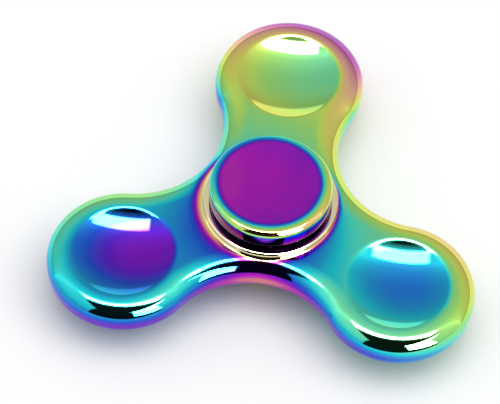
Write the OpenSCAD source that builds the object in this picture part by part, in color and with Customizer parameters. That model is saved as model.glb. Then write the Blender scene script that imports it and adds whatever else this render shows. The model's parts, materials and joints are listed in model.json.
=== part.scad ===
// Three-lobed fidget spinner: a cast metal body turning on a 608 ball bearing,
// gripped between two finger caps that a stud draws together through the bearing.
// Millimetres. Z is the spin axis and z = 0 is the bearing's middle plane.

/* [Body] */
// Distance from the spin axis to the centre of each lobe
arm_pitch = 28.2; // [27:0.1:32]
// Radius of a lobe, seen from above
lobe_r = 13.6; // [12:0.1:15]
// Distance from the spin axis to the narrowest point between two lobes
waist = 14.75; // [14.4:0.05:16]
// Thickness of the body over its flat faces
body_t = 6.8; // [5.5:0.1:7]
// Radius that rounds the body's outer edges
edge_r = 2.5; // [1:0.05:2.5]
// Radius of a finger dish at its mouth
dish_r = 9.5; // [6:0.1:9.8]
// Depth of a finger dish
dish_depth = 1.95; // [0.5:0.05:2.2]
// Outer radius of the raised collar that holds the bearing
collar_r = 12.1; // [11.9:0.05:12.4]
// Height of the collar over both faces
collar_t = 8.2; // [7.6:0.1:8.6]
// Radius that rounds the collar's rim
collar_edge_r = 0.5; // [0.3:0.05:0.6]
// Radius of the cove where the collar rises from the body
cove_r = 0.5; // [0.4:0.1:1.8]

/* [Caps] */
// Radius of a finger cap
cap_r = 11; // [10:0.1:11.5]
// Height of the upper cap's rim over the middle plane
cap_top = 8.8; // [8:0.1:9.5]
// Thickness of the upper cap's disc at its rim
upper_cap_t = 3.5; // [2.8:0.1:3.8]
// Thickness of the lower cap's disc at its rim
lower_cap_t = 2.6; // [2.2:0.1:3.8]
// Radius that rounds the rim of the cap's finger face
cap_edge_r = 1; // [0.4:0.1:1.2]
// Radius of the shallow hollow in the finger face
cap_dish_r = 9; // [6:0.1:9.4]
// Depth of that hollow
cap_dish_depth = 0.35; // [0.1:0.05:0.6]

/* [Bearing] */
// Bore diameter, 8 mm on a 608 bearing
bearing_bore = 8; // [8:8]
// Outside diameter, 22 mm on a 608 bearing
bearing_od = 22; // [22:22]
// Width of both rings, 7 mm on a 608 bearing
bearing_w = 7; // [7:7]
// Number of balls
ball_count = 7; // [7:7]
// Ball diameter, 5/32 inch
ball_d = 3.968; // [3.968:3.968]

/* [Fine fits] */
// Gap between the bearing and the bodies that it is pressed into
seat_gap = 0.01; // [0.005:0.005:0.02]
// Play between a ball and each raceway
race_gap = 0.012; // [0.01:0.002:0.02]

/* [Hidden] */
$fn = 96;
eps = 0.02;

// Body outline: lobe circles joined by waist circles that run a hair into them
lobe_overlap = 0.03;
waist_r = (waist * waist + arm_pitch * arm_pitch - arm_pitch * waist - lobe_r * lobe_r)
    / (arm_pitch + 2 * lobe_r - 2 * waist) + lobe_overlap;
lobe = [0, arm_pitch];
waist_centre = (waist + waist_r) * [cos(150), sin(150)];
dish_sphere_r = (dish_r * dish_r + dish_depth * dish_depth) / (2 * dish_depth);

// Bearing
pitch_r = (bearing_bore + bearing_od) / 4;
ball_r = ball_d / 2;
race_r = 1.04 * ball_r;
inner_land_r = 6.05;
outer_land_r = 8.9;
shield_seat_r = 9.6;
shield_z = 2.62;
shield_t = 0.24;
shield_gap = 0.2;
shield_rim_w = 0.7;
shield_dome = 0.2;
snap_wire_r = 0.22;
snap_z = shield_z + shield_t + seat_gap + snap_wire_r;
snap_open_half = 18;
ring_chamfer = 0.3;

// Ball cage: two pressed ribbons that clasp the balls
cage_t = 0.36;
cage_half_w = 0.72;
pocket_gap = 0.06;
rivet_r = 0.3;
rivet_gap = 0.005;
rivet_head_r = 0.5;
rivet_head_t = 0.18;

// Caps
cap_under = cap_top - upper_cap_t;
cap_under_edge_r = 0.4;
cap_dish_sphere_r = (cap_dish_r * cap_dish_r + cap_dish_depth * cap_dish_depth)
    / (2 * cap_dish_depth);
boss_r = 5.7;
spigot_gap = 0.15;
spigot_chamfer = 0.25;
stud_r = 2;
stud_half = 4.1;
stud_gap = 0.01;
stud_chamfer = 0.4;
stud_socket_af = 2;
stud_socket_depth = 2.2;

// Half profile of a plate with rounded edges, from x0 out to x1
module rounded_profile(x0, x1, half_t, r) {
    translate([x0, -half_t]) square([x1 - r - x0, 2 * half_t]);
    translate([x0, -half_t + r]) square([x1 - x0, 2 * (half_t - r)]);
    for (s = [-1, 1]) translate([x1 - r, s * (half_t - r)]) circle(r);
}

module lobe_disc() {
    translate(lobe) rotate_extrude() rounded_profile(0, lobe_r, body_t / 2, edge_r);
}

// A wide plate with a round hole: the edge of the hole makes one waist
module waist_plate() {
    outer = waist_r + 3 * arm_pitch;
    translate(waist_centre) rotate_extrude()
        translate([waist_r + outer, 0]) mirror([1, 0])
            rounded_profile(0, outer, body_t / 2, edge_r);
}

// The middle of the body, out to the lobe centres
module web() intersection() {
    waist_plate();
    rotate(120) waist_plate();
    rotate(240) waist_plate();
    linear_extrude(height = 2 * body_t, center = true)
        polygon([for (a = [0:120:240], p = [lobe, waist_centre])
            [p.x * cos(a) - p.y * sin(a), p.x * sin(a) + p.y * cos(a)]]);
}

// Collar round the bearing seat: rounded rim, then a cove down to the body's face
module collar() {
    rim = [collar_r - collar_edge_r, collar_t / 2 - collar_edge_r];
    cove_z = body_t / 2 + cove_r - eps;
    reach = collar_edge_r + cove_r - eps;
    cove = [rim.x + sqrt(reach * reach - (cove_z - rim.y) * (cove_z - rim.y)), cove_z];
    meet = rim + (cove - rim) * collar_edge_r / reach;
    rotate_extrude() difference() {
        union() {
            translate([0, -collar_t / 2]) square([rim.x, collar_t]);
            polygon([
                [0, rim.y], rim, meet, [cove.x, body_t / 2],
                [cove.x, -body_t / 2], [meet.x, -meet.y], [rim.x, -rim.y], [0, -rim.y]
            ]);
            for (s = [-1, 1]) translate([rim.x, s * rim.y]) circle(collar_edge_r);
        }
        for (s = [-1, 1]) translate([cove.x, s * cove.y]) circle(cove_r);
    }
}

module dish(s) {
    translate([lobe.x, lobe.y, s * (body_t / 2 - dish_depth + dish_sphere_r)])
        sphere(dish_sphere_r);
}

module body() color("mediumturquoise") difference() {
    union() {
        for (a = [0:120:240]) rotate(a) lobe_disc();
        web();
        collar();
    }
    for (a = [0:120:240], s = [-1, 1]) rotate(a) dish(s);
    cylinder(r = bearing_od / 2, h = 2 * collar_t, center = true);
}

// A cap for the +Z side: finger disc, boss on the inner ring, spigot in its bore
module cap(cap_t) {
    top = cap_under + cap_t;
    rim_r = cap_r - cap_edge_r;
    bore_r = bearing_bore / 2 - seat_gap;
    difference() {
        rotate_extrude() {
            translate([0, cap_under]) square([cap_r - cap_under_edge_r, cap_t - cap_edge_r]);
            translate([0, cap_under + cap_under_edge_r])
                square([cap_r, cap_t - cap_edge_r - cap_under_edge_r]);
            translate([cap_r - cap_under_edge_r, cap_under + cap_under_edge_r])
                circle(cap_under_edge_r);
            translate([0, top - cap_edge_r - eps]) square([rim_r, cap_edge_r + eps]);
            translate([rim_r, top - cap_edge_r]) circle(cap_edge_r);
            translate([0, bearing_w / 2]) square([boss_r, cap_under - bearing_w / 2 + eps]);
            polygon([
                [0, spigot_gap], [bore_r - spigot_chamfer, spigot_gap],
                [bore_r, spigot_gap + spigot_chamfer], [bore_r, bearing_w / 2 + eps],
                [0, bearing_w / 2 + eps]
            ]);
        }
        translate([0, 0, top - cap_dish_depth + cap_dish_sphere_r])
            sphere(cap_dish_sphere_r);
        cylinder(r = stud_r, h = 2 * (stud_half + spigot_gap), center = true);
    }
}

module upper_cap() color("darkorchid") cap(upper_cap_t);

module lower_cap() color("darkorchid") mirror([0, 0, 1]) cap(lower_cap_t);

// Headless screw with a hexagon socket in its upper end
module centre_stud() color("dimgray") difference() {
    straight_half = stud_half - stud_chamfer;
    rotate_extrude() polygon([
        [0, -stud_half], [stud_r - stud_chamfer, -stud_half],
        [stud_r - stud_gap, -straight_half], [stud_r - stud_gap, straight_half],
        [stud_r - stud_chamfer, stud_half], [0, stud_half]
    ]);
    translate([0, 0, stud_half - stud_socket_depth])
        cylinder(r = stud_socket_af / sqrt(3), h = 2 * stud_socket_depth, $fn = 6);
}

// The groove that a ball rolls in, as a ring to cut away
module raceway(groove_r) {
    rotate_extrude() translate([groove_r, 0]) circle(race_r);
}

module bearing_outer_ring() color("silver") difference() {
    outer = bearing_od / 2 - seat_gap;
    half_w = bearing_w / 2;
    rotate_extrude() difference() {
        polygon([
            [outer_land_r, -half_w], [outer - ring_chamfer, -half_w],
            [outer, ring_chamfer - half_w], [outer, half_w - ring_chamfer],
            [outer - ring_chamfer, half_w], [outer_land_r, half_w]
        ]);
        for (s = [-1, 1]) {
            translate([0, s * (shield_z + half_w) - half_w]) square([shield_seat_r, 2 * half_w]);
            translate([shield_seat_r - snap_wire_r / 2, s * snap_z])
                circle(snap_wire_r + seat_gap);
        }
    }
    raceway(pitch_r + ball_r + race_gap - race_r);
}

module bearing_inner_ring() color("silver") difference() {
    bore = bearing_bore / 2;
    half_w = bearing_w / 2;
    rotate_extrude() polygon([
        [bore, ring_chamfer - half_w], [bore + ring_chamfer, -half_w],
        [inner_land_r - ring_chamfer, -half_w], [inner_land_r, ring_chamfer - half_w],
        [inner_land_r, half_w - ring_chamfer], [inner_land_r - ring_chamfer, half_w],
        [bore + ring_chamfer, half_w], [bore, half_w - ring_chamfer]
    ]);
    raceway(pitch_r - ball_r - race_gap + race_r);
}

module at_ball(i) {
    rotate(90 + i * 360 / ball_count) translate([pitch_r, 0, 0]) children();
}

module ball(i) color("gainsboro") at_ball(i) sphere(ball_r);

// Flat ring on the ball pitch circle, from the middle plane up
module pitch_ring(half_w, height) {
    rotate_extrude() translate([pitch_r - half_w, 0]) square([2 * half_w, height]);
}

// Upper ribbon of the cage: flat webs and a cup over each ball
module cage_half() {
    pocket_r = ball_r + pocket_gap;
    cup_r = pocket_r + cage_t;
    difference() {
        intersection() {
            pitch_ring(cage_half_w, 2 * cup_r);
            union() {
                pitch_ring(2 * cage_half_w, cage_t);
                for (i = [0:ball_count - 1]) at_ball(i) sphere(cup_r);
            }
        }
        for (i = [0:ball_count - 1]) {
            at_ball(i) sphere(pocket_r);
            at_ball(i + 0.5) cylinder(r = rivet_r, h = 4 * cage_t, center = true);
        }
    }
}

module cage_upper() color("tan") cage_half();

module cage_lower() color("tan") mirror([0, 0, 1]) cage_half();

module cage_rivets() color("peru") for (i = [0:ball_count - 1]) at_ball(i + 0.5) {
    cylinder(r = rivet_r - rivet_gap, h = 2 * cage_t + eps, center = true);
    for (s = [-1, 1]) translate([0, 0, s * (cage_t + rivet_head_t / 2)])
        cylinder(r = rivet_head_r, h = rivet_head_t, center = true);
}

// Pressed steel disc that closes one side of the bearing
module shield() {
    inner = inner_land_r + shield_gap;
    outer = shield_seat_r - seat_gap;
    bend_out = outer - shield_rim_w;
    bend_in = bend_out - shield_dome;
    top_z = shield_z + shield_t;
    rotate_extrude() polygon([
        [inner, shield_z + shield_dome], [bend_in, shield_z + shield_dome],
        [bend_out, shield_z], [outer, shield_z], [outer, top_z], [bend_out, top_z],
        [bend_in, top_z + shield_dome], [inner, top_z + shield_dome]
    ]);
}

module upper_shield() color("lightgray") shield();

module lower_shield() color("lightgray") mirror([0, 0, 1]) shield();

// Open wire ring that springs into the groove and holds a shield down
module snap_ring() {
    rotate(90 + snap_open_half) rotate_extrude(angle = 360 - 2 * snap_open_half)
        translate([shield_seat_r - snap_wire_r / 2, snap_z]) circle(snap_wire_r - seat_gap);
}

module upper_snap_ring() color("gray") snap_ring();

module lower_snap_ring() color("gray") mirror([0, 0, 1]) snap_ring();

body();
upper_cap();
lower_cap();
centre_stud();
bearing_outer_ring();
bearing_inner_ring();
for (i = [1:ball_count]) ball(i - 1);
cage_upper();
cage_lower();
cage_rivets();
upper_shield();
lower_shield();
upper_snap_ring();
lower_snap_ring();
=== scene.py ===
"""Fidget spinner: a mirror-bright body with a rainbow film, on a ball bearing between two finger caps.

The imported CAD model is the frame. The body and the two caps are rebuilt here as fine meshes with
exact normals, because a mirror finish shows every facet. The CAD nodes of the bearing and the stud
keep their shape and get a material. Lengths in the shape and film functions are millimetres, and
MM turns them into metres; sizes in materials, floor, lamp and camera are metres.
"""

import json
import math

import bpy
import numpy as np
from mathutils import Matrix, Vector
from mathutils.geometry import delaunay_2d_cdt


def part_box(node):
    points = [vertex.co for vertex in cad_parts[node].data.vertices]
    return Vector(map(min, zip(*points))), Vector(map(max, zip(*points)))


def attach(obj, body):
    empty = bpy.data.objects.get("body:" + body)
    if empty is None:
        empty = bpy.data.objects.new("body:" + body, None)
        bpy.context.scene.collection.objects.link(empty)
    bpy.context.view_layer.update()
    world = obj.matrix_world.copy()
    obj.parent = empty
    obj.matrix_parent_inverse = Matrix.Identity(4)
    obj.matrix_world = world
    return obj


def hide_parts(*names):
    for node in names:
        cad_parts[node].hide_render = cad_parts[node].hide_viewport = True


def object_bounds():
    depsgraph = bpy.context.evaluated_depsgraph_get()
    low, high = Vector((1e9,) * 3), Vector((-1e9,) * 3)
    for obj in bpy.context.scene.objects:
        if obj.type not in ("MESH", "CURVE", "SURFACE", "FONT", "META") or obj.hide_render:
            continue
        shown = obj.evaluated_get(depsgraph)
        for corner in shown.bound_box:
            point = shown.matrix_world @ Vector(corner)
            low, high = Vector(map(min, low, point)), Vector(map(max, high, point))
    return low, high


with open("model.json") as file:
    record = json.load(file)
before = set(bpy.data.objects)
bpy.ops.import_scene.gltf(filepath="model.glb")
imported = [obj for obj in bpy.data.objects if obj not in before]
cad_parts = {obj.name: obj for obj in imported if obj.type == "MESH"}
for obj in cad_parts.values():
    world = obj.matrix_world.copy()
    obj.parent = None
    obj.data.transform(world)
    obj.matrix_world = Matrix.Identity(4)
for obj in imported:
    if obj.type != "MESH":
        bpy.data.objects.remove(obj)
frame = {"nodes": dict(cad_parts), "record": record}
cad_low, cad_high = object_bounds()
MM = 0.001

# ---------------------------------------------------------------- sizes, from the frame

body_high = np.array(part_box("body")[1]) / MM
cap_high = np.array(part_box("upper_cap")[1]) / MM
ring_high = np.array(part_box("bearing_outer_ring")[1]) / MM

# The body has three equal lobes, the first along +Y. Its reach along +Y and along +X together
# give how far out a lobe's centre lies and how large a lobe is.
LOBES = 3
THIRD = 2 * math.pi / LOBES
COS30 = math.cos(math.radians(30))
ARM_PITCH = (body_high[1] - body_high[0]) / (1 - COS30)
LOBE_R = body_high[1] - ARM_PITCH
COLLAR_TOP = body_high[2]
CAP_R = cap_high[0]
CAP_TOP = cap_high[2]
SEAT_R = round(ring_high[0], 1)
BEARING_HALF_W = ring_high[2]

# These repeat the CAD source, which the frame doesn't hold. Heights are above the middle plane.
WAIST = 14.75  # from the axis to the middle of a waist
HALF_T = 3.4  # height of the body's flat face
DISH_R = 9.5
DISH_DEPTH = 1.95
COLLAR_R = 12.1
COLLAR_EDGE_R = 0.5  # rounding of the collar's rim
COVE_R = 0.5  # hollow rounding at the collar's foot
UPPER_CAP_T = 3.5
LOWER_CAP_T = 2.6
CAP_EDGE_R = 1.0  # rounding of a cap's outer rim
CAP_UNDER_EDGE_R = 0.4  # rounding of a cap's rim on the side towards the body
CAP_DISH_R = 9.0
CAP_DISH_DEPTH = 0.35
BOSS_R = 5.7  # the step that stands on the bearing's inner ring
SPIGOT_R = 3.99  # the pin that fits the inner ring's bore
SPIGOT_END = 0.15  # height of the spigot's inner end
SPIGOT_CHAMFER = 0.25
STUD_R = 2.0  # the stud's bore in the spigot
BORE_END = 4.25  # height of that bore's closed end

# The edge rolls over in three arcs, from the flat face to the side: (to degrees, radius)
EDGE_ARCS = [(8, 12.0), (30, 4.5), (90, 2.5)]

WAIST_R = (WAIST**2 + ARM_PITCH**2 - ARM_PITCH * WAIST - LOBE_R**2) / (
    ARM_PITCH + 2 * LOBE_R - 2 * WAIST
)
WAIST_PITCH = WAIST + WAIST_R
DISH_SPHERE_R = (DISH_R**2 + DISH_DEPTH**2) / (2 * DISH_DEPTH)

# ---------------------------------------------------------------- the body's surface

# In a lobe's own frame the lobe lies along +x, and a waist circle's centre lies half a third round
WAIST_CENTRE = WAIST_PITCH * np.array([math.cos(THIRD / 2), math.sin(THIRD / 2)])
# Angle at the lobe's centre, off the lobe's axis, where lobe circle and waist circle meet
SEAM = math.atan2(WAIST_CENTRE[1], WAIST_CENTRE[0] - ARM_PITCH)
# Height over which the dish's rim bends into the face
RIM_SOFT = 0.2


def edge_profile(steps=60):
    """Distance inside the outline, height and tilt in radians, from the side to the flat face."""
    turn, reach, rise = [0.0], [0.0], [0.0]
    for to_degrees, radius in EDGE_ARCS:
        start = turn[-1]
        for t in np.linspace(start, math.radians(to_degrees), steps + 1)[1:]:
            reach.append(reach[-1] + radius * (math.sin(t) - math.sin(turn[-1])))
            rise.append(rise[-1] + radius * (math.cos(turn[-1]) - math.cos(t)))
            turn.append(t)
    depth = reach[-1] - np.array(reach)
    return depth[::-1], HALF_T - np.array(rise)[::-1], np.array(turn)[::-1]


EDGE_DEPTH, EDGE_Z, EDGE_TILT = edge_profile()
EDGE_W = EDGE_DEPTH[-1]


def ramp(t, low, high):
    """0 below low, 1 above high, with smooth ends."""
    t = np.clip((t - low) / (high - low), 0, 1)
    return t * t * (3 - 2 * t)


def fold(x, y):
    """Each point turned and mirrored into the lobe frame: first coordinate along its nearest lobe."""
    angle = np.arctan2(y, x) - math.pi / 2
    angle = np.abs((angle + THIRD / 2) % THIRD - THIRD / 2)
    r = np.hypot(x, y)
    return r * np.cos(angle), r * np.sin(angle)


def depth_inside(x, y):
    """Distance from the body's outline, positive inside."""
    u, v = fold(x, y)
    angle = np.arctan2(v, u - ARM_PITCH)
    to_lobe = LOBE_R - np.hypot(u - ARM_PITCH, v)
    to_waist = np.hypot(u - WAIST_CENTRE[0], v - WAIST_CENTRE[1]) - WAIST_R
    return np.where(angle <= SEAM, to_lobe, to_waist)


def add_collar(r, plate):
    """The plate's height at radius r, raised by the collar's rounded rim and its cove."""
    rim_x, rim_z = COLLAR_R - COLLAR_EDGE_R, COLLAR_TOP - COLLAR_EDGE_R
    cove_z = HALF_T + COVE_R
    reach = COLLAR_EDGE_R + COVE_R
    cove_x = rim_x + math.sqrt(reach**2 - (cove_z - rim_z) ** 2)
    meet_x = rim_x + (cove_x - rim_x) * COLLAR_EDGE_R / reach
    rim = rim_z + np.sqrt(np.maximum(COLLAR_EDGE_R**2 - np.maximum(r - rim_x, 0) ** 2, 0))
    cove = cove_z - np.sqrt(np.maximum(COVE_R**2 - (cove_x - r) ** 2, 0))
    cove = cove - (HALF_T - plate) * ramp(r, meet_x, cove_x)
    return np.where(r < meet_x, rim, np.where(r < cove_x, cove, plate))


def soft_floor(a, width):
    """a where it is above width and 0 below -width, with a smooth bend between."""
    bend = (a + width) ** 2 / (4 * width)
    return np.where(a > width, a, np.where(a < -width, 0, bend))


def height_at(x, y):
    """Height of the body's upper face above its middle plane."""
    plate = np.interp(depth_inside(x, y), EDGE_DEPTH, EDGE_Z)
    u, v = fold(x, y)
    q = np.hypot(u - ARM_PITCH, v)
    sphere_z = np.sqrt(np.maximum(DISH_SPHERE_R**2 - q * q, 0))
    sag = sphere_z - (DISH_SPHERE_R - DISH_DEPTH)
    dish = np.where(q < LOBE_R, soft_floor(sag, RIM_SOFT), 0)
    return add_collar(np.hypot(x, y), plate) - dish


def upper_face(p):
    """The points of the upper face over plan points p."""
    return np.stack([p[:, 0], p[:, 1], height_at(p[:, 0], p[:, 1])], 1)


def face_normals(p, step=0.004):
    """Exact normals of the upper face at plan points p, by differences of its height."""
    x, y = p[:, 0], p[:, 1]
    dx = (height_at(x + step, y) - height_at(x - step, y)) / (2 * step)
    dy = (height_at(x, y + step) - height_at(x, y - step)) / (2 * step)
    n = np.stack([-dx, -dy, np.ones(len(p))], 1)
    return n / np.linalg.norm(n, axis=1)[:, None]


# ---------------------------------------------------------------- meshes


class Skin:
    """Gathers grids of points with their exact normals and welds them into one smooth mesh.

    Points in the same cube of side WELD become one. The cubes are shifted by OFF_GRID of a side,
    so that round sizes don't lie on the border of two cubes.
    """

    WELD = 0.001
    OFF_GRID = 0.137

    def __init__(self):
        self.points, self.normals, self.faces, self.count = [], [], [], 0

    def patch(self, points, normals, faces):
        """Faces over points, each turned to face along its points' normals."""
        across = points[faces[:, 1]] - points[faces[:, 0]]
        along = points[faces[:, -1]] - points[faces[:, 0]]
        back = points[faces[:, 2]] - points[faces[:, 0]]
        turn = np.cross(across, back) + (np.cross(back, along) if faces.shape[1] == 4 else 0)
        flipped = (turn * normals[faces].sum(1)).sum(1) < 0
        faces[flipped] = faces[flipped][:, ::-1]
        self.points.append(points)
        self.normals.append(normals)
        self.faces.append(faces + self.count)
        self.count += len(points)

    def grid(self, points, normals, rows, cols):
        """rows x cols points, whose neighbours make quads."""
        i = np.arange(rows * cols).reshape(rows, cols)
        quads = np.stack([i[:-1, :-1], i[:-1, 1:], i[1:, 1:], i[1:, :-1]], -1).reshape(-1, 4)
        self.patch(points, normals, quads)

    def mirror(self):
        """Adds everything again, mirrored in the middle plane."""
        flat = np.array([1, 1, -1.0])
        self.points += [p * flat for p in self.points]
        self.normals += [n * flat for n in self.normals]
        self.faces += [f[:, ::-1] + self.count for f in self.faces]
        self.count *= 2

    def build(self, name):
        """The piece, its points and their normals. Each face keeps its own normals."""
        points, normals = np.concatenate(self.points), np.concatenate(self.normals)
        keys = np.round(points / self.WELD + self.OFF_GRID).astype(np.int64)
        _, first, same = np.unique(keys, axis=0, return_index=True, return_inverse=True)
        same = same.reshape(-1)
        rings, loops = [], []
        for faces in self.faces:
            for face, welded in zip(faces.tolist(), same[faces].tolist()):
                keep = [k for k in range(len(face)) if welded[k] != welded[k - 1]]
                if len(keep) > 2:
                    rings.append([welded[k] for k in keep])
                    loops.extend(face[k] for k in keep)
        mesh = bpy.data.meshes.new(name)
        mesh.from_pydata((points[first] * MM).tolist(), [], rings)
        mesh.shade_smooth()
        mesh.normals_split_custom_set(normals[loops].tolist())
        piece = bpy.data.objects.new(name, mesh)
        bpy.context.scene.collection.objects.link(piece)
        return piece, points[first], normals[first]


def directions(angles):
    """Unit vectors of the plan at the given angles."""
    return np.stack([np.cos(angles), np.sin(angles)], 1)


def crossings(first, second):
    """Both values at every crossing of two sets of lines, one line of the first set at a time."""
    a, b = np.meshgrid(first, second, indexing="ij")
    return a.ravel(), b.ravel()


def to_frame(p, lobe):
    """Plan points or directions of a lobe's own frame turned to where lobe 0, 1 or 2 stands."""
    u, v = p.T
    a = math.pi / 2 + lobe * THIRD
    return np.stack([u * math.cos(a) - v * math.sin(a), u * math.sin(a) + v * math.cos(a)], 1)


def dense_at(low, high, count, centre, pull=6, width=0.7):
    """count values from low to high, spaced up to 1 + pull times closer within width of centre."""
    fine = np.linspace(low, high, count)
    weight = 1 / (1 + pull * np.exp(-(((fine - centre) / width) ** 2)))
    steps = np.concatenate([[0], np.cumsum((weight[1:] + weight[:-1]) / 2)])
    return low + (high - low) * steps / steps[-1]


# Along the outline the body has rows of its own; BAND is how far in they reach
BAND = 1.2
EDGE_ROWS, SIDE_ROWS = 18, 3
# The collar's mesh reaches to this circle, just outside its cove
FOOT_R = 12.7
COLLAR_TOP_STEPS, COLLAR_ROWS, SEAT_ROWS = 3, 30, 6
LOBE_RINGS = 42
LOBE_STEPS, HUB_STEPS, WAIST_STEPS, FOOT_STEPS = 96, 48, 32, 96
# Size of the neck's triangles
FILL_STEP = 0.32

# Angles round a lobe's centre: along its free edge, then along its side towards the hub
FREE_SIDE = np.linspace(-SEAM, SEAM, LOBE_STEPS + 1)
HUB_SIDE = np.linspace(SEAM, 2 * math.pi - SEAM, HUB_STEPS + 1)
# Angles round a waist circle's centre, from the seam to the middle of the waist
SEAM_TURN = math.atan2(-WAIST_CENTRE[1], ARM_PITCH - WAIST_CENTRE[0])
WAIST_SWEEP = np.linspace(SEAM_TURN, -THIRD, WAIST_STEPS + 1)
# Angles round the axis over the third of the body that a lobe stands in, in the lobe's own frame
LOBE_THIRD = np.linspace(-THIRD / 2, THIRD / 2, FOOT_STEPS + 1)


def add_lobe(made, lobe):
    """The lobe's face: rings about its centre, closest together at the dish's rim."""
    radii = dense_at(0, LOBE_R - BAND, LOBE_RINGS, DISH_R)
    ring = np.concatenate([FREE_SIDE, HUB_SIDE[1:]])
    r, a = crossings(radii, ring)
    p = to_frame(np.stack([ARM_PITCH + r * np.cos(a), r * np.sin(a)], 1), lobe)
    made.grid(upper_face(p), face_normals(p), len(radii), len(ring))


def neck_plan():
    """Plan points and triangles between the collar, a lobe's rings and its two waists."""
    foot = FOOT_R * directions(LOBE_THIRD)
    waist = WAIST_CENTRE + (WAIST_R + BAND) * directions(WAIST_SWEEP)
    lobe = [ARM_PITCH, 0] + (LOBE_R - BAND) * directions(HUB_SIDE)
    border = np.concatenate([foot, waist[::-1], lobe[1:-1], waist * [1, -1]])
    x, y = (a.ravel() for a in np.meshgrid(
        np.arange(0, ARM_PITCH, FILL_STEP), np.arange(-ARM_PITCH, ARM_PITCH, FILL_STEP * COS30)))
    x = x + FILL_STEP / 2 * (np.round(y / FILL_STEP / COS30) % 2)
    margin = FILL_STEP / 2
    inside = (
        (np.abs(np.arctan2(y, x)) < THIRD / 2 - margin / FOOT_R)
        & (np.hypot(x, y) > FOOT_R + margin)
        & (np.hypot(x - ARM_PITCH, y) > LOBE_R - BAND + margin)
        & (np.hypot(x - WAIST_CENTRE[0], np.abs(y) - WAIST_CENTRE[1]) > WAIST_R + BAND + margin)
    )
    plan = np.concatenate([border, np.stack([x, y], 1)[inside]])
    edges = [(i, (i + 1) % len(border)) for i in range(len(border))]
    inside_border, same_point = 1, 1e-6
    _, _, triangles, *_ = delaunay_2d_cdt(
        [Vector(p) for p in plan], edges, [], inside_border, same_point
    )
    return plan, np.array(triangles)


def add_neck(made, lobe, plan, triangles):
    """The face over a neck, whose plan and triangles are in the lobe's own frame."""
    p = to_frame(plan, lobe)
    made.patch(upper_face(p), face_normals(p), triangles.copy())


def add_collar_third(made, lobe):
    """The collar's share of the face, from the bearing seat to its foot."""
    rim_r = COLLAR_R - COLLAR_EDGE_R
    radii = np.concatenate([
        np.linspace(SEAT_R, rim_r, COLLAR_TOP_STEPS + 1)[:-1],
        np.linspace(rim_r, FOOT_R, COLLAR_ROWS),
    ])
    r, a = crossings(radii, LOBE_THIRD + math.pi / 2 + lobe * THIRD)
    p = r[:, None] * directions(a)
    made.grid(upper_face(p), face_normals(p), len(radii), len(LOBE_THIRD))


def edge_rows():
    """Distance inside the outline, height and tilt of the edge's rows, down to the middle plane."""
    reach = np.linspace(0, math.pi / 2, EDGE_ROWS)
    inset = np.concatenate([BAND * (1 - np.sin(reach)), np.zeros(SIDE_ROWS)])
    z = np.interp(inset, EDGE_DEPTH, EDGE_Z)
    z[-SIDE_ROWS:] *= np.linspace(1, 0, SIDE_ROWS + 1)[1:]
    return inset, z, np.interp(inset, EDGE_DEPTH, EDGE_TILT)


def add_edge(made, lobe, outline, out):
    """The rounded edge along an outline in the lobe's own frame, with out pointing outwards."""
    inset, z, tilt = edge_rows()
    rows, cols = len(inset), len(outline)
    p = to_frame((outline - inset[:, None, None] * out).reshape(-1, 2), lobe)
    away = np.tile(to_frame(out, lobe), (rows, 1))
    level, upright = np.repeat(np.sin(tilt), cols), np.repeat(np.cos(tilt), cols)
    points = np.column_stack([p, np.repeat(z, cols)])
    made.grid(points, np.column_stack([away * level[:, None], upright]), rows, cols)


def add_seat(made, lobe):
    """The upper half of the wall that the bearing is pressed into."""
    heights = np.linspace(COLLAR_TOP, 0, SEAT_ROWS)
    z, a = crossings(heights, LOBE_THIRD + math.pi / 2 + lobe * THIRD)
    away = directions(a)
    points, normals = np.column_stack([SEAT_R * away, z]), np.column_stack([-away, 0 * z])
    made.grid(points, normals, len(heights), len(LOBE_THIRD))


def build_body():
    """The upper half, a third at a time, mirrored in the middle plane."""
    made = Skin()
    plan, triangles = neck_plan()
    out_lobe, out_waist = directions(FREE_SIDE), -directions(WAIST_SWEEP)
    lobe_edge = [ARM_PITCH, 0] + LOBE_R * out_lobe
    waist_edge = WAIST_CENTRE - WAIST_R * out_waist
    outline = np.concatenate([lobe_edge, waist_edge[1:]])
    out = np.concatenate([out_lobe, out_waist[1:]])
    # The lobe's other waist mirrors the first, which is what follows the free side in the outline
    other = slice(LOBE_STEPS, None)
    for lobe in range(LOBES):
        add_lobe(made, lobe)
        add_neck(made, lobe, plan, triangles)
        add_collar_third(made, lobe)
        add_edge(made, lobe, outline, out)
        add_edge(made, lobe, outline[other] * [1, -1], out[other] * [1, -1])
        add_seat(made, lobe)
    made.mirror()
    return made.build("body_shell")


# ---------------------------------------------------------------- the caps


def line(start, end, steps):
    """Points and normals of a straight stretch of a profile, with the solid on its left."""
    p = np.linspace(start, end, steps + 1)
    along = (np.array(end) - start) / np.linalg.norm(np.array(end) - start)
    return p, np.tile([along[1], -along[0]], (steps + 1, 1))


def arc(centre, radius, turn_from, turn_to, steps, out=1):
    """Points and normals of a round stretch, in degrees; out is -1 for a hollow."""
    away = directions(np.radians(np.linspace(turn_from, turn_to, steps + 1)))
    return np.array(centre) + radius * away, out * away


def lathe(made, stretches, steps):
    """Turns a profile of (radius, height) stretches round the Z axis."""
    around = np.linspace(0, 2 * math.pi, steps + 1)
    for p, n in stretches:
        r, a = np.meshgrid(p[:, 0], around, indexing="ij")
        points = np.stack([r * np.cos(a), r * np.sin(a), np.repeat(p[:, 1:], steps + 1, 1)], -1)
        r, a = np.meshgrid(n[:, 0], around, indexing="ij")
        normals = np.stack([r * np.cos(a), r * np.sin(a), np.repeat(n[:, 1:], steps + 1, 1)], -1)
        made.grid(points.reshape(-1, 3), normals.reshape(-1, 3), len(p), steps + 1)


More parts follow.
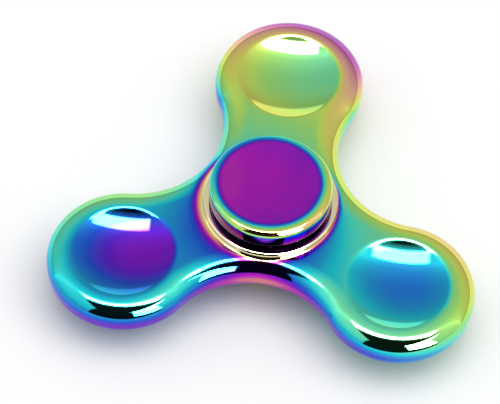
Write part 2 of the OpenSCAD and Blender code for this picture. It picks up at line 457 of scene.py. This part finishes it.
def cap_profile(thickness):
    """A cap's outline on the +Z side, from its bore's inner end round to its hollow's middle."""
    under = CAP_TOP - UPPER_CAP_T
    top = under + thickness
    sphere_r = (CAP_DISH_R**2 + CAP_DISH_DEPTH**2) / (2 * CAP_DISH_DEPTH)
    half_arc = math.degrees(math.asin(CAP_DISH_R / sphere_r))
    edge, under_edge, tip = CAP_EDGE_R, CAP_UNDER_EDGE_R, SPIGOT_CHAMFER
    return [
        line((0, BORE_END), (STUD_R, BORE_END), 4),
        line((STUD_R, BORE_END), (STUD_R, SPIGOT_END), 6),
        line((STUD_R, SPIGOT_END), (SPIGOT_R - tip, SPIGOT_END), 3),
        line((SPIGOT_R - tip, SPIGOT_END), (SPIGOT_R, SPIGOT_END + tip), 1),
        line((SPIGOT_R, SPIGOT_END + tip), (SPIGOT_R, BEARING_HALF_W), 5),
        line((SPIGOT_R, BEARING_HALF_W), (BOSS_R, BEARING_HALF_W), 3),
        line((BOSS_R, BEARING_HALF_W), (BOSS_R, under), 4),
        line((BOSS_R, under), (CAP_R - under_edge, under), 12),
        arc((CAP_R - under_edge, under + under_edge), under_edge, -90, 0, 8),
        line((CAP_R, under + under_edge), (CAP_R, top - edge), 5),
        arc((CAP_R - edge, top - edge), edge, 0, 90, 16),
        line((CAP_R - edge, top), (CAP_DISH_R, top), 4),
        arc((0, top - CAP_DISH_DEPTH + sphere_r), sphere_r, -90 + half_arc, -90, 26, out=-1),
    ]


CAP_STEPS = 240


def build_cap(name, side, thickness):
    """The cap whose head is on the +Z side for side 1, and its mirror image for side -1."""
    made = Skin()
    lathe(made, cap_profile(thickness), CAP_STEPS)
    if side < 0:
        # Only the mirror image is kept
        made.mirror()
        half = len(made.points) // 2
        made.points, made.normals = made.points[half:], made.normals[half:]
        count = sum(len(p) for p in made.points)
        made.faces = [f - count for f in made.faces[half:]]
    return made.build(name)


# ---------------------------------------------------------------- film


# Millimetres over which the film's change near a waist and near the collar fades out
FADE = 5
# The dish's film passes into the face's over this range of distances outside its rim
DISH_EDGE = (-0.9, 0.7)
# The film is COLLAR_FILM from the axis out to SHADOW_START, then recovers over SHADOW_REACH. The
# LEAN values change both with the way from the axis.
COLLAR_FILM = 0.04
SHADOW_START, START_LEAN = 11.85, -0.15
SHADOW_REACH, REACH_LEAN_X, REACH_LEAN_Y = 1.0, -0.28, -0.15


def body_film(p, n):
    """Thickness of the body's film at points with normals, as a place on FILM_COLOURS.

    The film changes slowly across the body and with the way the metal faces. It has terms of its
    own in the dishes and down the sides, and is thinnest on the collar and round its foot.
    """
    x, y, z = p.T
    nx, ny, _ = n.T
    r = np.hypot(x, y)
    u, v = fold(x, y)
    dish = 1 - ramp(np.hypot(u - ARM_PITCH, v), DISH_R + DISH_EDGE[0], DISH_R + DISH_EDGE[1])
    face = 1 - dish
    side = np.clip(1 - depth_inside(x, y) / EDGE_W, 0, 1) * face
    at_waist = side * np.exp(-np.maximum(r - WAIST, 0) / FADE)
    near_hub = np.exp(-np.maximum(r - FOOT_R, 0) / FADE)
    drop, sunk = HALF_T - z, HALF_T - np.abs(z)
    # All but one of the amounts are the rounded result of a least-squares program run outside this
    # script; the one with np.maximum(y, 0) was then changed
    film = sum(amount * place for amount, place in (
        # Everywhere: an even film with a slow change across the body
        (0.584, 1), (0.00237, x), (0.00474, y),
        (-0.000004, x * x), (0.000014, y * y), (0.000018, x * y),
        # In the dishes, by the way the metal faces and by how deep it lies
        (0.008, dish), (0.133, nx * dish), (0.143, ny * dish), (-0.424, nx * nx * dish),
        (-0.07, sunk * dish), (0.00045, y * sunk * dish),
        (0.004, np.maximum(y, 0) * (nx + ny) * dish),
        # Outside the dishes, by the way the metal faces
        (0.0459, nx * face), (0.115, ny * face),
        # Over the rounded edge and down the side
        (0.272, side), (-0.167, side * side), (0.0162, nx * side), (0.0458, ny * side),
        (-0.0003, x * side), (-0.0016, y * side),
        (0.00216, x * nx * side), (0.0012, y * nx * side), (0.0057, y * ny * side),
        (-0.0746, drop * side), (0.097, side * np.maximum(drop - HALF_T, 0)),
        (-0.0445, at_waist), (0.0095, drop * at_waist),
        # Near the collar
        (-0.135, near_hub), (0.0693, near_hub * y / r), (0.0353, near_hub * x / r),
    ))
    start = SHADOW_START + START_LEAN * x / r
    reach = SHADOW_REACH + REACH_LEAN_X * x / r + REACH_LEAN_Y * y / r
    shadow = np.exp(-((np.maximum(r - start, 0) / reach) ** 2))
    film += shadow * (COLLAR_FILM - film)
    return np.clip(film, 0, 1)


# A cap's film over its face, and how it changes towards +X and away from y = 0
CAP_FACE, CAP_FACE_X, CAP_FACE_Y = 0.268, 0.025, 0.02
# What is added round its rim, between two radii, and more so the way that CAP_LEAN points. There
# the inner radius also moves in, by CAP_RIM_SHIFT.
CAP_RIM, CAP_RIM_LEAN, CAP_RIM_R, CAP_RIM_SHIFT = 0.36, 0.15, (8.5, 10.4), 0.6
CAP_LEAN = (0.6, -0.8)
# The film of its wall, which takes over between two depths below its face
CAP_WALL, CAP_WALL_DROP = 0.3, (0.5, 1.2)


def cap_film(p, top):
    """Thickness of the film of a cap whose face is at height top, as a place on FILM_COLOURS."""
    x, y, z = p.T
    r = np.hypot(x, y)
    lean = (CAP_LEAN[0] * x + CAP_LEAN[1] * y) / CAP_R
    film = CAP_FACE + CAP_FACE_X * x / CAP_R + CAP_FACE_Y * (y / CAP_R) ** 2
    rim = ramp(r, CAP_RIM_R[0] - CAP_RIM_SHIFT * lean, CAP_RIM_R[1])
    film += rim * (CAP_RIM + CAP_RIM_LEAN * lean)
    film += ramp(top - np.abs(z), *CAP_WALL_DROP) * (CAP_WALL - film)
    return np.clip(film, 0, 1)


def paint(piece, values):
    """Stores the film's thickness at the piece's points, for its material to read."""
    piece.data.attributes.new("film", "FLOAT", "POINT").data.foreach_set("value", values)


# (thickness as a share of the thickest film, colour of the metal under it). Most colours are
# averages that a program outside this script measured, rounded; some were then changed.
FILM_COLOURS = [
    (0.00, (0.8, 0.76, 0.62)),
    (0.05, (0.86, 0.78, 0.42)),
    (0.10, (0.82, 0.62, 0.15)),
    (0.14, (0.85, 0.4, 0.16)),
    (0.18, (0.74, 0.22, 0.26)),
    (0.22, (0.58, 0.05, 0.40)),
    (0.26, (0.43, 0.003, 0.48)),
    (0.30, (0.22, 0.003, 0.52)),
    (0.34, (0.09, 0.01, 0.55)),
    (0.38, (0.01, 0.07, 0.6)),
    (0.42, (0.01, 0.18, 0.66)),
    (0.46, (0.01, 0.33, 0.62)),
    (0.50, (0.01, 0.6, 0.68)),
    (0.54, (0.08, 0.74, 0.56)),
    (0.58, (0.17, 0.72, 0.37)),
    (0.62, (0.26, 0.74, 0.26)),
    (0.66, (0.36, 0.75, 0.18)),
    (0.70, (0.56, 0.8, 0.14)),
    (0.74, (0.7, 0.71, 0.13)),
    (0.78, (0.77, 0.61, 0.18)),
    (0.82, (0.81, 0.5, 0.27)),
    (0.86, (0.76, 0.36, 0.32)),
    (0.90, (0.65, 0.2, 0.38)),
    (0.94, (0.5, 0.1, 0.45)),
    (1.00, (0.36, 0.1, 0.48)),
]


class Graph:
    """Short names for the nodes of one node tree."""

    def __init__(self, tree):
        self.nodes, self.links = tree.nodes, tree.links

    def math(self, operation, *values):
        """The result of a maths node on values, each a number or a socket."""
        node = self.nodes.new("ShaderNodeMath")
        node.operation = operation
        for socket, value in zip(node.inputs, values):
            if isinstance(value, (int, float)):
                socket.default_value = value
            else:
                self.links.new(value, socket)
        return node.outputs[0]

    def step(self, value, soft):
        """0 where value is below 0 and 1 above it, over a width of soft."""
        return self.math("MINIMUM", 1, self.math("MAXIMUM", 0, self.math(
            "ADD", self.math("DIVIDE", value, soft), 0.5)))

    def mix(self, a, b, share):
        """a where share is 0, b where it is 1."""
        return self.math("ADD", a, self.math("MULTIPLY", share, self.math("SUBTRACT", b, a)))

    def both(self, *masks):
        """1 only where all the masks are 1."""
        total = masks[0]
        for mask in masks[1:]:
            total = self.math("MULTIPLY", total, mask)
        return total

    def noise(self, size, detail=2.0, stretch=(1, 1, 1)):
        """Noise from 0 to 1 with grains of about size metres, fixed to the object."""
        place = self.nodes.new("ShaderNodeTexCoord").outputs["Object"]
        scaled = self.nodes.new("ShaderNodeMapping")
        scaled.inputs["Scale"].default_value = stretch
        self.links.new(place, scaled.inputs["Vector"])
        noise = self.nodes.new("ShaderNodeTexNoise")
        noise.inputs["Scale"].default_value = 1 / size
        noise.inputs["Detail"].default_value = detail
        self.links.new(scaled.outputs["Vector"], noise.inputs["Vector"])
        return noise.outputs["Fac"]

    def spread(self, value, low, high):
        """value, which runs from 0 to 1, brought to run from low to high."""
        node = self.nodes.new("ShaderNodeMapRange")
        node.inputs["To Min"].default_value = low
        node.inputs["To Max"].default_value = high
        self.links.new(value, node.inputs["Value"])
        return node.outputs["Result"]

    def ramp(self, value, colours):
        """value turned into colours, a list of (place, (red, green, blue))."""
        node = self.nodes.new("ShaderNodeValToRGB")
        stops = node.color_ramp.elements
        while len(stops) < len(colours):
            stops.new(0.5)
        for stop, (place, colour) in zip(stops, colours):
            stop.position = place
            stop.color = (*colour, 1)
        self.links.new(value, node.inputs["Fac"])
        return node.outputs["Color"]

    def bump(self, height, depth):
        """Normals for a surface whose height runs over depth metres."""
        node = self.nodes.new("ShaderNodeBump")
        node.inputs["Distance"].default_value = depth
        self.links.new(height, node.inputs["Height"])
        return node.outputs["Normal"]


def new_metal(name):
    """A new material set to bare metal, its node graph and its shader's sockets."""
    material = bpy.data.materials.new(name)
    material.use_nodes = True
    shader = material.node_tree.nodes["Principled BSDF"]
    shader.inputs["Metallic"].default_value = 1
    return material, Graph(material.node_tree), shader.inputs


# Sizes of the film's clouds, of its coarse and fine wear, and of its ripples with their depth
CLOUD_SIZE = 0.005
WEAR_SIZES = (0.004, 0.0006)
RIPPLE_SIZE, RIPPLE_DEPTH = 0.0021, 0.0000006
# Share of the clear mirror that lies over the coloured one
FILM_COAT = 0.4


def film_material(name, cloud, wear, polish):
    """Mirror-bright metal under a transparent film whose thickness sets its colour.

    The film's thickness wanders by up to cloud. The roughness is polish, and up to wear more in
    worn patches.
    """
    material, g, shader = new_metal(name)
    film = g.nodes.new("ShaderNodeAttribute")
    film.attribute_name = "film"
    wander = g.spread(g.noise(CLOUD_SIZE, 1.0), -cloud, cloud)
    colour = g.ramp(g.math("ADD", film.outputs["Fac"], wander), FILM_COLOURS)
    g.links.new(colour, shader["Base Color"])
    patches = g.math("MULTIPLY", g.noise(WEAR_SIZES[0], 4.0), g.noise(WEAR_SIZES[1], 3.0))
    g.links.new(g.spread(patches, polish, polish + wear), shader["Roughness"])
    g.links.new(g.bump(g.noise(RIPPLE_SIZE), RIPPLE_DEPTH), shader["Normal"])
    shader["Coat Weight"].default_value = FILM_COAT
    shader["Coat Roughness"].default_value = 0.0
    return material


# The steel's tone changes over this many grains; its noise gives the dark shade at the first of
# TONE_ENDS and the light one at the second
TONE_GRAINS, TONE_ENDS = 8, (0.3, 0.7)
# The grain takes the roughness from the first of these shares of its value to the second
ROUGHNESS_SPREAD = (0.7, 1.4)


def steel_material(name, dark, light, roughness, grain, stretch, depth):
    """Bare steel between two shades, with a grain of the given size, stretch and depth."""
    material, g, shader = new_metal(name)
    tone = g.noise(TONE_GRAINS * grain, 3.0)
    g.links.new(g.ramp(tone, list(zip(TONE_ENDS, (dark, light)))), shader["Base Color"])
    marks = g.noise(grain, 4.0, stretch)
    low, high = (share * roughness for share in ROUGHNESS_SPREAD)
    g.links.new(g.spread(marks, low, high), shader["Roughness"])
    g.links.new(g.bump(marks, depth), shader["Normal"])
    return material


# Slot: dark shade, light shade, roughness, size of the grain, its stretch, its depth (metres)
STEELS = {
    "ring_steel": ((0.42, 0.42, 0.43), (0.60, 0.60, 0.61), 0.16, 0.0004, (1, 1, 6), 0.000002),
    "ball_steel": ((0.66, 0.66, 0.67), (0.74, 0.74, 0.75), 0.04, 0.0005, (1, 1, 1), 0.0000003),
    "cage_steel": ((0.40, 0.38, 0.35), (0.56, 0.54, 0.50), 0.28, 0.0003, (1, 1, 1), 0.000004),
    "shield_steel": ((0.46, 0.46, 0.47), (0.62, 0.62, 0.63), 0.22, 0.0003, (1, 5, 1), 0.000003),
    "stud_steel": ((0.03, 0.03, 0.032), (0.07, 0.07, 0.072), 0.35, 0.0003, (1, 1, 1), 0.000005),
}

# ---------------------------------------------------------------- the pieces

body_shell, points, normals = build_body()
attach(body_shell, "rotor")
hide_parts("body")
paint(body_shell, body_film(points, normals))
body_shell.data.materials.append(film_material("rainbow_film", 0.008, 0.05, 0.025))

cap_metal = film_material("cap_film", 0.02, 0.06, 0.04)
for name, side, thickness in (("upper_cap", 1, UPPER_CAP_T), ("lower_cap", -1, LOWER_CAP_T)):
    cap, points, normals = build_cap(name + "_shell", side, thickness)
    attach(cap, "hub")
    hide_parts(name)
    paint(cap, cap_film(points, CAP_TOP - UPPER_CAP_T + thickness))
    cap.data.materials.append(cap_metal)

# The bearing's CAD nodes and the stud each take the steel that the record names
steels = {slot: steel_material(slot, *look) for slot, look in STEELS.items()}
slots = {part["node"]: part["material_slot"] for part in frame["record"]["subparts"]}
for name, node in frame["nodes"].items():
    if slots[name] in steels:
        node.data.materials.clear()
        node.data.materials.append(steels[slots[name]])

# ---------------------------------------------------------------- floor, light and world


# The floor lies this far below the part, so that the two don't touch
FLOOR_GAP = 0.00002
FLOOR_HALF = 3


def add_floor():
    """A plain matt floor, nearly white."""
    mesh = bpy.data.meshes.new("floor")
    z = cad_low[2] - FLOOR_GAP
    corners = [(x * FLOOR_HALF, y * FLOOR_HALF, z) for x, y in ((-1, -1), (1, -1), (1, 1), (-1, 1))]
    mesh.from_pydata(corners, [], [(0, 1, 2, 3)])
    floor = bpy.data.objects.new("floor", mesh)
    bpy.context.scene.collection.objects.link(floor)
    material = bpy.data.materials.new("floor")
    material.use_nodes = True
    shader = material.node_tree.nodes["Principled BSDF"]
    shader.inputs["Base Color"].default_value = (0.9, 0.9, 0.9, 1)
    shader.inputs["Roughness"].default_value = 0.9
    shader.inputs["Specular IOR Level"].default_value = 0
    floor.data.materials.append(material)


# Brightness of the light tent at each elevation. Elevation runs in degrees from the far
# horizon at 0, through overhead at 90, to the near horizon at 180; below 0 is the table.
TENT = [
    (-180, 1.1), (20, 1.1), (21.5, 0.50), (35, 0.62), (58, 0.70), (66, 0.80), (75, 1.0), (80, 1.35),
    (93, 1.0), (180, 0.75),
]
# The ramp's colours are the tent's brightness over this, which keeps them below 1
TENT_TOP = 2
# The lit strip overhead: (degrees, softness in degrees) of its far and near side, then its ends
STRIP_FAR, STRIP_NEAR = (82, 2), (92.3, 1.5)
STRIP_LEFT, STRIP_RIGHT, STRIP_END_SOFT = -0.37, 0.38, 0.04
# Brightness of the strip and the window, seen in one mirroring and in a second one
STRIP = 30.0
SECOND_STRIP = 2.0
# At the first mirroring off the part the ray depth is below this
FIRST_MIRROR = 2.5
# The dark opening towards the camera. Each side reaches out to the larger of two slopes, one on
# nearness and one on height. Its foot is a slope on height, with a soft edge of its own.
OPENING = 0.012
OPENING_LEFT, OPENING_RIGHT = (0.68, 0.45), (1.5, 0.66)
OPENING_FOOT, OPENING_FOOT_SOFT = 0.08, 0.12
# The window in it: right of one slope on nearness, above another, and below nearness plus a
# slope on x
WINDOW_LEFT, WINDOW_FOOT, WINDOW_TOP = 0.4, 0.42, 1.35
# Softness of all the other edges
SOFT = 0.03


def add_world():
    """A white tent with a dark opening towards the camera, and a window in the opening's right."""
    world = bpy.data.worlds.new("tent")
    bpy.context.scene.world = world
    world.use_nodes = True
    g = Graph(world.node_tree)
    place = g.nodes.new("ShaderNodeTexCoord")
    split = g.nodes.new("ShaderNodeSeparateXYZ")
    g.links.new(place.outputs["Generated"], split.inputs[0])
    x, y, z = split.outputs
    near = g.math("MULTIPLY", y, -1)

    def over(a, b, soft=SOFT):
        """1 where a is more than b."""
        return g.step(g.math("SUBTRACT", a, b), soft)

    def times(a, b):
        return g.math("MULTIPLY", a, b)

    elevation = times(g.math("ARCTAN2", z, y), math.degrees(1))
    turn = g.math("ADD", g.math("DIVIDE", elevation, 360), 0.5)
    stops = [(degrees / 360 + 0.5, [bright / TENT_TOP] * 3) for degrees, bright in TENT]
    light = times(g.ramp(turn, stops), TENT_TOP)
    strip = g.both(
        over(elevation, *STRIP_FAR),
        over(STRIP_NEAR[0], elevation, STRIP_NEAR[1]),
        over(x, STRIP_LEFT, STRIP_END_SOFT),
        over(STRIP_RIGHT, x, STRIP_END_SOFT),
    )
    left, right = (
        g.math("MAXIMUM", times(near, by_near), times(z, by_height))
        for by_near, by_height in (OPENING_LEFT, OPENING_RIGHT)
    )
    opening = g.both(
        g.step(g.math("ADD", x, left), SOFT),
        over(right, x),
        over(near, times(z, OPENING_FOOT), OPENING_FOOT_SOFT),
        g.step(z, SOFT),
    )
    window = g.both(
        opening,
        over(x, times(near, WINDOW_LEFT)),
        over(g.math("ADD", near, times(x, WINDOW_TOP)), z),
        over(z, times(near, WINDOW_FOOT)),
    )
    light = g.mix(light, OPENING, opening)
    path = g.nodes.new("ShaderNodeLightPath").outputs
    first = g.math("LESS_THAN", path["Ray Depth"], FIRST_MIRROR)
    strength = g.mix(SECOND_STRIP, STRIP, first)
    bright = g.math("MAXIMUM", strip, window)
    light = g.mix(light, strength, g.both(bright, path["Is Glossy Ray"]))
    background = g.nodes["Background"]
    background.inputs["Color"].default_value = (1, 1, 1, 1)
    g.links.new(light, background.inputs["Strength"])


LAMP_POWER = 6.4
LAMP_SIZE = 1.3
LAMP_PLACE = (0.2, -0.12, 0.85)


def add_lamp():
    """A large soft lamp, up on the near right, which the metal doesn't mirror."""
    data = bpy.data.lights.new("lamp", "AREA")
    data.shape, data.size = "DISK", LAMP_SIZE
    data.energy = LAMP_POWER
    lamp = bpy.data.objects.new("lamp", data)
    lamp.location = LAMP_PLACE
    lamp.rotation_euler = Vector(LAMP_PLACE).to_track_quat("Z", "Y").to_euler()
    lamp.visible_glossy = False
    bpy.context.scene.collection.objects.link(lamp)


add_lamp()
add_floor()
add_world()
bpy.context.scene.view_settings.view_transform = "Standard"

# ---------------------------------------------------------------- camera

# The view's values were solved by a program outside this script
AZIMUTH, ELEVATION, ROLL = math.radians(5.732), math.radians(55.866), math.radians(1.967)
DISTANCE = 0.5534
TARGET = Vector((-0.00382, 0.00157, 0.0))
# Focal length and sensor width, in millimetres
LENS, SENSOR = 221.9, 36


def add_camera():
    """The camera, at DISTANCE from TARGET in the direction AZIMUTH and ELEVATION, and rolled."""
    back = Vector((
        math.sin(AZIMUTH) * math.cos(ELEVATION),
        -math.cos(AZIMUTH) * math.cos(ELEVATION),
        math.sin(ELEVATION),
    ))
    data = bpy.data.cameras.new("camera")
    data.lens, data.sensor_width = LENS, SENSOR
    data.clip_start, data.clip_end = 0.01, 20
    camera = bpy.data.objects.new("camera", data)
    camera.matrix_world = (
        Matrix.Translation(TARGET + back * DISTANCE)
        @ (-back).to_track_quat("-Z", "Y").to_matrix().to_4x4()
        @ Matrix.Rotation(ROLL, 4, "Z")
    )
    bpy.context.scene.collection.objects.link(camera)
    bpy.context.scene.camera = camera


add_camera()
